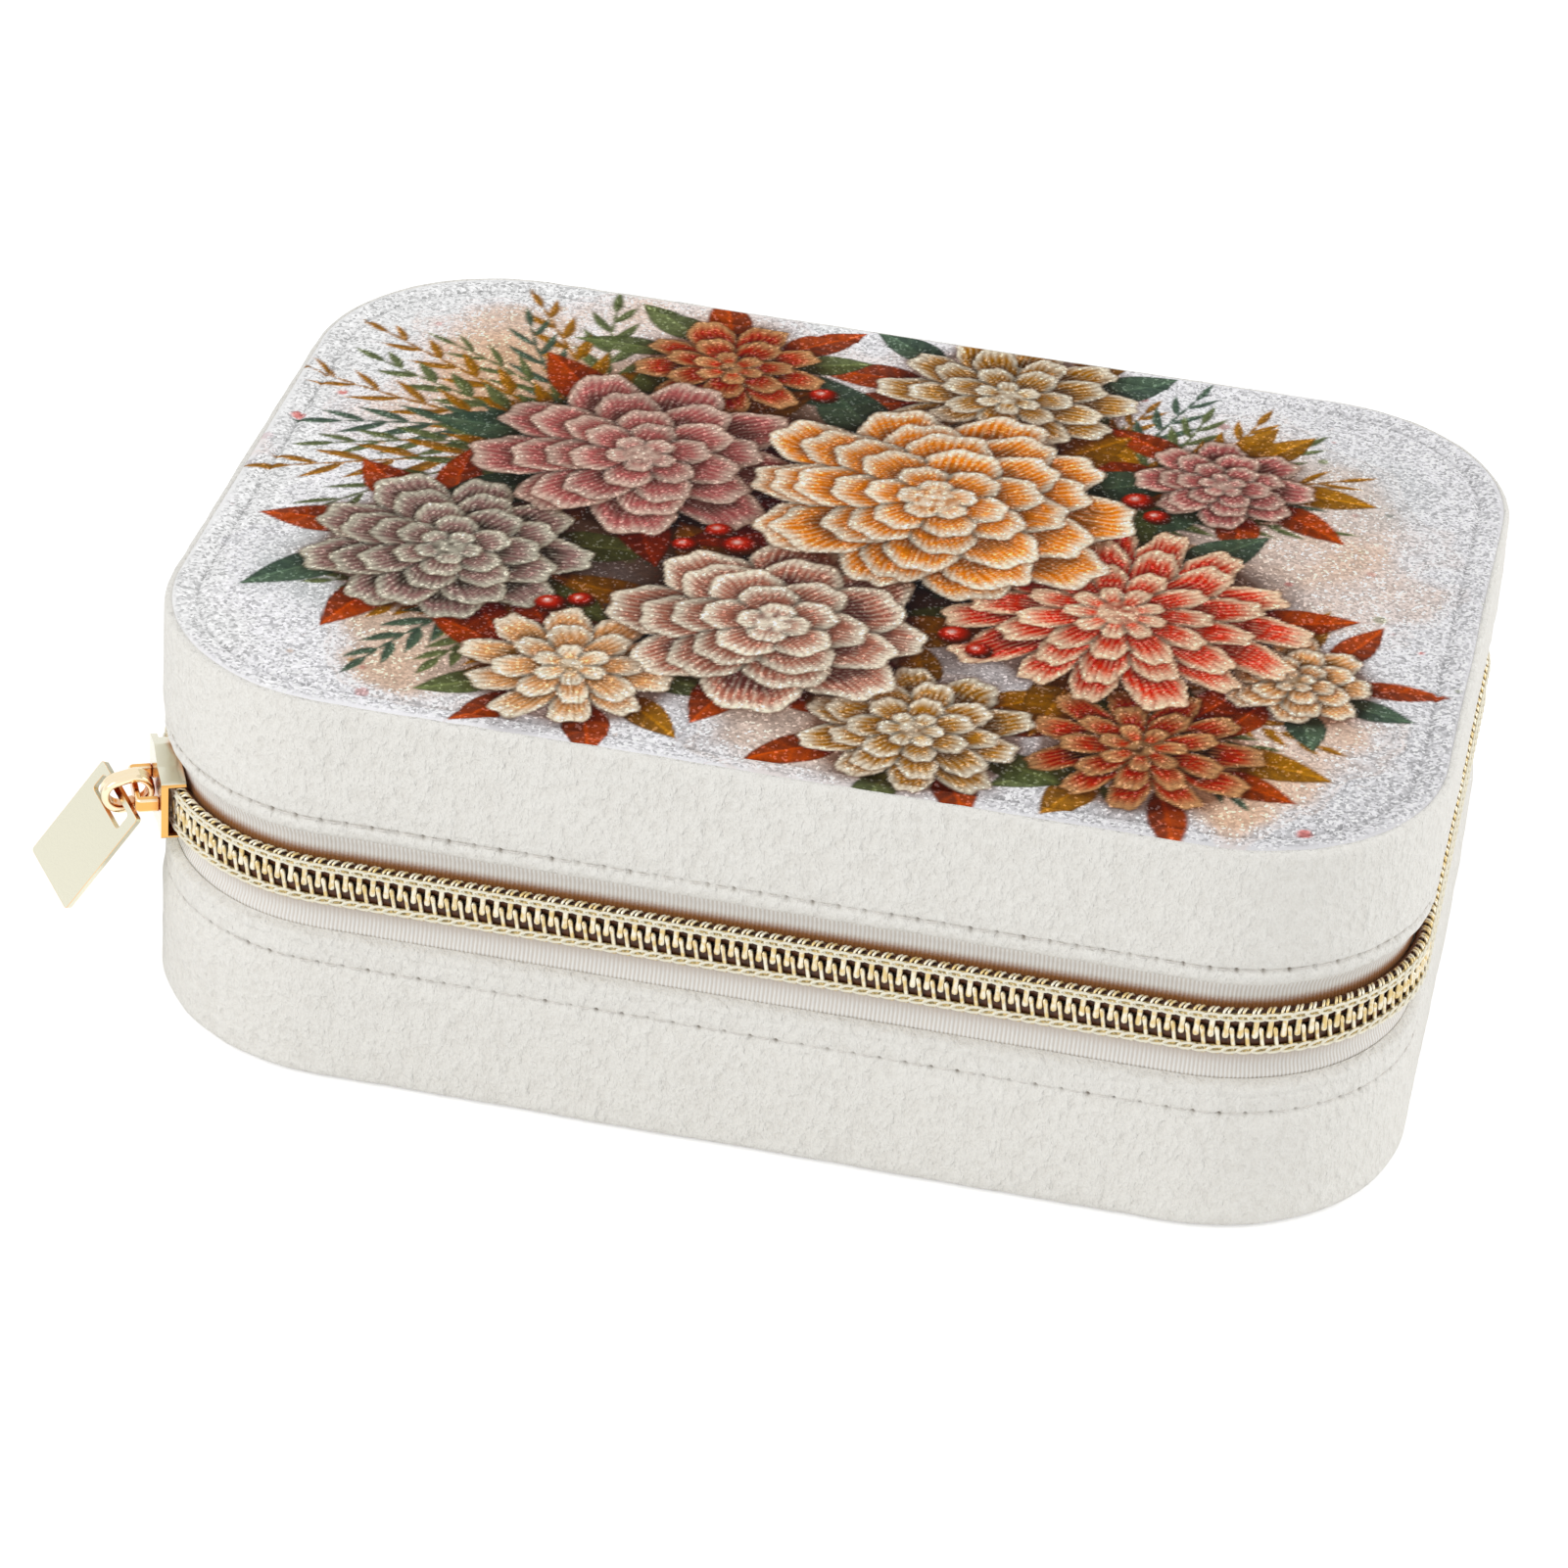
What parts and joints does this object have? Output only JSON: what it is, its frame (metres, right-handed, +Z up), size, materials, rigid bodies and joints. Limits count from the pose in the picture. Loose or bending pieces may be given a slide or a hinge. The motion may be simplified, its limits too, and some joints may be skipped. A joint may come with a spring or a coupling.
{
  "type": "travel jewelry box",
  "caption": "Zip-round travel jewelry box: padded velvet walls, glitter top, fabric-hinged lid with mirror, lined tray with dividers and ring rolls, zip slider with pull tag.",
  "frame": {"origin": "middle of the flat underside of the closed box", "axes": "+X along the front to the right, +Y to the back where the lid is hinged, +Z up"},
  "size_m": [0.18, 0.1204, 0.056],
  "materials": {
    "velvet": "short nap velvet",
    "printed_glitter": "fine silver glitter cloth with a printed design",
    "board": "grey board",
    "foam": "soft foam",
    "lining_velvet": "short nap velvet",
    "hinge_fabric": "short nap velvet",
    "zip_tape": "woven tape",
    "zip_teeth": "pale gold plated",
    "gold_metal": "polished pale gold",
    "mirror_glass": "silvered glass"
  },
  "bodies": {
    "base": {"base_bottom_panel": "velvet", "base_wall_cover": "velvet", "base_shell": "board", "base_lining": "lining_velvet", "base_hinge_strip": "hinge_fabric", "base_zip_tape": "zip_tape", "base_zip_teeth": "zip_teeth", "base_zip_stops": "gold_metal", "ring_roll_bed": "board", "ring_roll_1": "lining_velvet", "ring_roll_2": "lining_velvet", "ring_roll_3": "lining_velvet", "ring_roll_4": "lining_velvet", "ring_roll_5": "lining_velvet", "ring_roll_6": "lining_velvet", "divider_long": "lining_velvet", "divider_left": "lining_velvet", "divider_right": "lining_velvet"},
    "lid": {"lid_top_panel": "printed_glitter", "lid_foam_pad": "foam", "lid_wall_cover": "velvet", "lid_shell": "board", "lid_lining": "lining_velvet", "lid_hinge_strip": "hinge_fabric", "lid_zip_tape": "zip_tape", "lid_zip_teeth": "zip_teeth", "lid_zip_stops": "gold_metal", "mirror": "mirror_glass", "mirror_surround": "lining_velvet"},
    "slider": {"slider_body": "gold_metal", "slider_bridge": "gold_metal"},
    "pull_link": {"pull_link": "gold_metal"},
    "pull_tag": {"pull_tag": "gold_metal"}
  },
  "joints": [
    {"name": "lid_hinge", "type": "hinge", "parent": "base", "child": "lid", "pos_m": [0, 0.0581, 0.0298], "axis": [-1, 0, 0], "range_deg": [0, 110]},
    {"name": "zip_slider", "type": "hinge", "parent": "base", "child": "slider", "pos_m": [-0.055, -0.033, 0.0298], "axis": [0, 0, 1], "range_deg": [-10, 52], "deforming": ["base_zip_teeth", "lid_zip_teeth"]},
    {"name": "pull_link_swing", "type": "hinge", "parent": "slider", "child": "pull_link", "pos_m": [-0.0835, -0.04569, 0.0298], "axis": [-0.4067, 0.9135, 0], "range_deg": [-15, 22]},
    {"name": "pull_tag_swing", "type": "hinge", "parent": "pull_link", "child": "pull_tag", "pos_m": [-0.08518, -0.04644, 0.02931], "axis": [-0.6524, 0.678, 0.3387], "range_deg": [-18, 90]}
  ]
}
